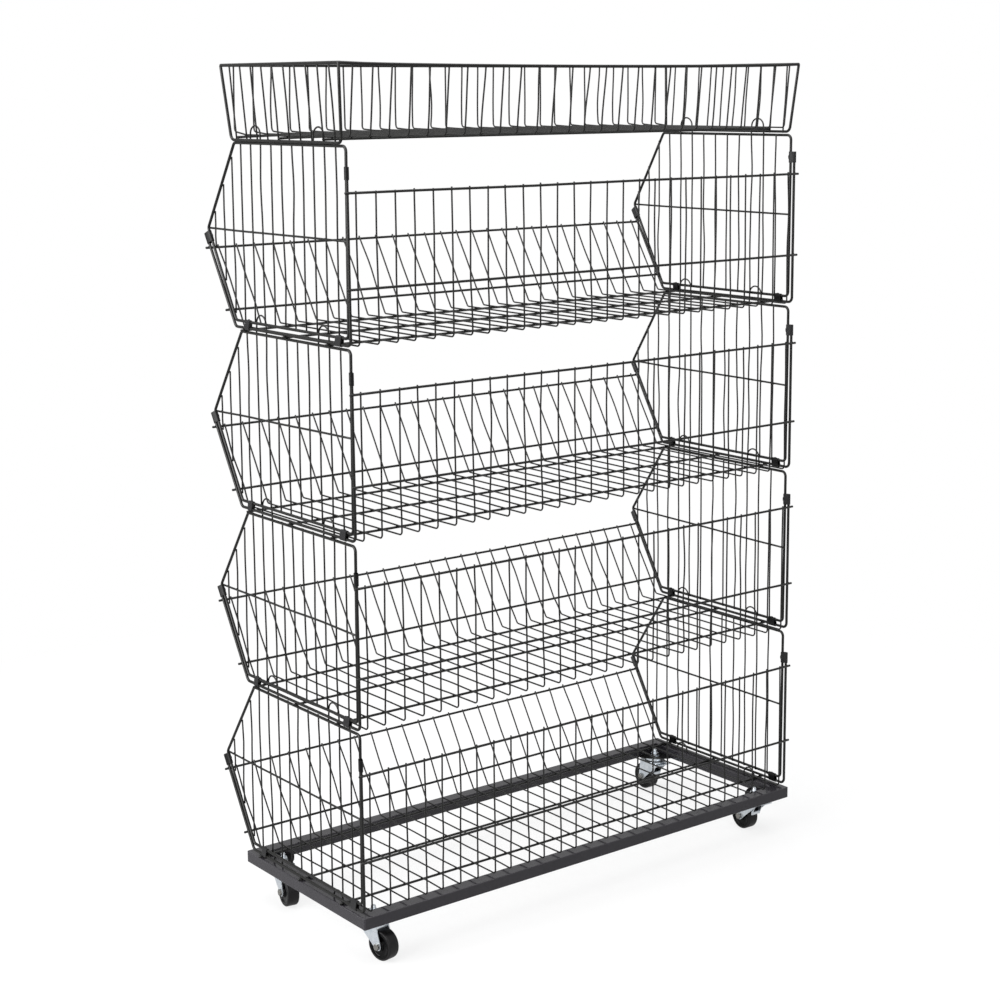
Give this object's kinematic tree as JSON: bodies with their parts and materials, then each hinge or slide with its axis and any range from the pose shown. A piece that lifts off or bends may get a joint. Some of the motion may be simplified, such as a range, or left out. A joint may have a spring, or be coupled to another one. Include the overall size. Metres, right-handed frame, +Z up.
{
  "type": "retail display rack",
  "caption": "Rolling display rack: stacked open-front wire hopper bins with clipped-in mesh end panels, a flared wire tray on top and a tube base on swivel casters, some with brakes.",
  "frame": {"origin": "on the floor, under the middle of the tube base", "axes": "+Z up; X along the rack, +X the end whose casters have no brakes; -Y the sloping open front, +Y the upright back"},
  "size_m": [0.943, 0.4411, 1.3974],
  "materials": {
    "wire_coating": "semi-gloss black coating over welded steel wire",
    "base_paint": "satin charcoal paint over steel tube",
    "black_paint": "satin black",
    "clip_steel": "satin dark grey",
    "zinc": "bright zinc plate",
    "wheel_plastic": "matte black"
  },
  "bodies": {
    "base": {"base_rail_front": "base_paint", "base_rail_back": "base_paint", "base_rail_left": "base_paint", "base_rail_right": "base_paint", "corner_plates": "black_paint", "base_hoops": "wire_coating", "caster_stems": "zinc", "stem_nuts": "zinc", "upper_races": "zinc", "race_balls": "zinc"},
    "caster_front_left": {"fork_front_left": "zinc", "axle_front_left": "zinc"},
    "wheel_front_left": {"wheel_front_left": "wheel_plastic"},
    "pedal_front_left": {"brake_pedal_front_left": "zinc"},
    "caster_front_right": {"fork_front_right": "zinc", "axle_front_right": "zinc"},
    "wheel_front_right": {"wheel_front_right": "wheel_plastic"},
    "caster_back_left": {"fork_back_left": "zinc", "axle_back_left": "zinc"},
    "wheel_back_left": {"wheel_back_left": "wheel_plastic"},
    "pedal_back_left": {"brake_pedal_back_left": "zinc"},
    "caster_back_right": {"fork_back_right": "zinc", "axle_back_right": "zinc"},
    "wheel_back_right": {"wheel_back_right": "wheel_plastic"},
    "bin_1": {"bin_1_floor": "wire_coating", "bin_1_hopper_wall": "wire_coating", "bin_1_back_wall": "wire_coating", "bin_1_panel_left": "wire_coating", "bin_1_panel_right": "wire_coating", "bin_1_hinge_clips": "clip_steel", "bin_1_latch_clips": "clip_steel"},
    "bin_2": {"bin_2_floor": "wire_coating", "bin_2_hopper_wall": "wire_coating", "bin_2_back_wall": "wire_coating", "bin_2_panel_left": "wire_coating", "bin_2_panel_right": "wire_coating", "bin_2_hinge_clips": "clip_steel", "bin_2_latch_clips": "clip_steel"},
    "bin_3": {"bin_3_floor": "wire_coating", "bin_3_hopper_wall": "wire_coating", "bin_3_back_wall": "wire_coating", "bin_3_panel_left": "wire_coating", "bin_3_panel_right": "wire_coating", "bin_3_hinge_clips": "clip_steel", "bin_3_latch_clips": "clip_steel"},
    "bin_4": {"bin_4_floor": "wire_coating", "bin_4_hopper_wall": "wire_coating", "bin_4_back_wall": "wire_coating", "bin_4_panel_left": "wire_coating", "bin_4_panel_right": "wire_coating", "bin_4_hinge_clips": "clip_steel", "bin_4_latch_clips": "clip_steel"},
    "tray": {"tray_floor": "wire_coating", "tray_front_wall": "wire_coating", "tray_back_wall": "wire_coating", "tray_end_left": "wire_coating", "tray_end_right": "wire_coating"}
  },
  "joints": [
    {"name": "swivel_front_left", "type": "hinge", "parent": "base", "child": "caster_front_left", "pos_m": [-0.42, -0.138, 0.0635], "axis": [0, 0, 1], "continuous": true},
    {"name": "roll_front_left", "type": "hinge", "parent": "caster_front_left", "child": "wheel_front_left", "pos_m": [-0.42087, -0.16298, 0.025], "axis": [0.9994, -0.0349, 0], "continuous": true},
    {"name": "brake_front_left", "type": "hinge", "parent": "caster_front_left", "child": "pedal_front_left", "pos_m": [-0.41972, -0.13001, 0.052], "axis": [-0.9994, 0.0349, 0], "range_deg": [0, 20]},
    {"name": "swivel_front_right", "type": "hinge", "parent": "base", "child": "caster_front_right", "pos_m": [0.42, -0.138, 0.0635], "axis": [0, 0, 1], "continuous": true},
    {"name": "roll_front_right", "type": "hinge", "parent": "caster_front_right", "child": "wheel_front_right", "pos_m": [0.42382, -0.11633, 0.025], "axis": [-0.9848, 0.1736, 0], "continuous": true},
    {"name": "swivel_back_left", "type": "hinge", "parent": "base", "child": "caster_back_left", "pos_m": [-0.42, 0.138, 0.0635], "axis": [0, 0, 1], "continuous": true},
    {"name": "roll_back_left", "type": "hinge", "parent": "caster_back_left", "child": "wheel_back_left", "pos_m": [-0.42087, 0.11302, 0.025], "axis": [0.9994, -0.0349, 0], "continuous": true},
    {"name": "brake_back_left", "type": "hinge", "parent": "caster_back_left", "child": "pedal_back_left", "pos_m": [-0.41972, 0.146, 0.052], "axis": [-0.9994, 0.0349, 0], "range_deg": [0, 20]},
    {"name": "swivel_back_right", "type": "hinge", "parent": "base", "child": "caster_back_right", "pos_m": [0.42, 0.138, 0.0635], "axis": [0, 0, 1], "continuous": true},
    {"name": "roll_back_right", "type": "hinge", "parent": "caster_back_right", "child": "wheel_back_right", "pos_m": [0.41618, 0.15967, 0.025], "axis": [-0.9848, -0.1736, 0], "continuous": true},
    {"name": "lift_bin_1", "type": "slide", "parent": "base", "child": "bin_1", "axis": [0, 0, 1], "range_m": [0, 0.06]},
    {"name": "lift_bin_2", "type": "slide", "parent": "bin_1", "child": "bin_2", "axis": [0, 0, 1], "range_m": [0, 0.06]},
    {"name": "lift_bin_3", "type": "slide", "parent": "bin_2", "child": "bin_3", "axis": [0, 0, 1], "range_m": [0, 0.06]},
    {"name": "lift_bin_4", "type": "slide", "parent": "bin_3", "child": "bin_4", "axis": [0, 0, 1], "range_m": [0, 0.06]},
    {"name": "lift_tray", "type": "slide", "parent": "bin_4", "child": "tray", "axis": [0, 0, 1], "range_m": [0, 0.06]}
  ]
}
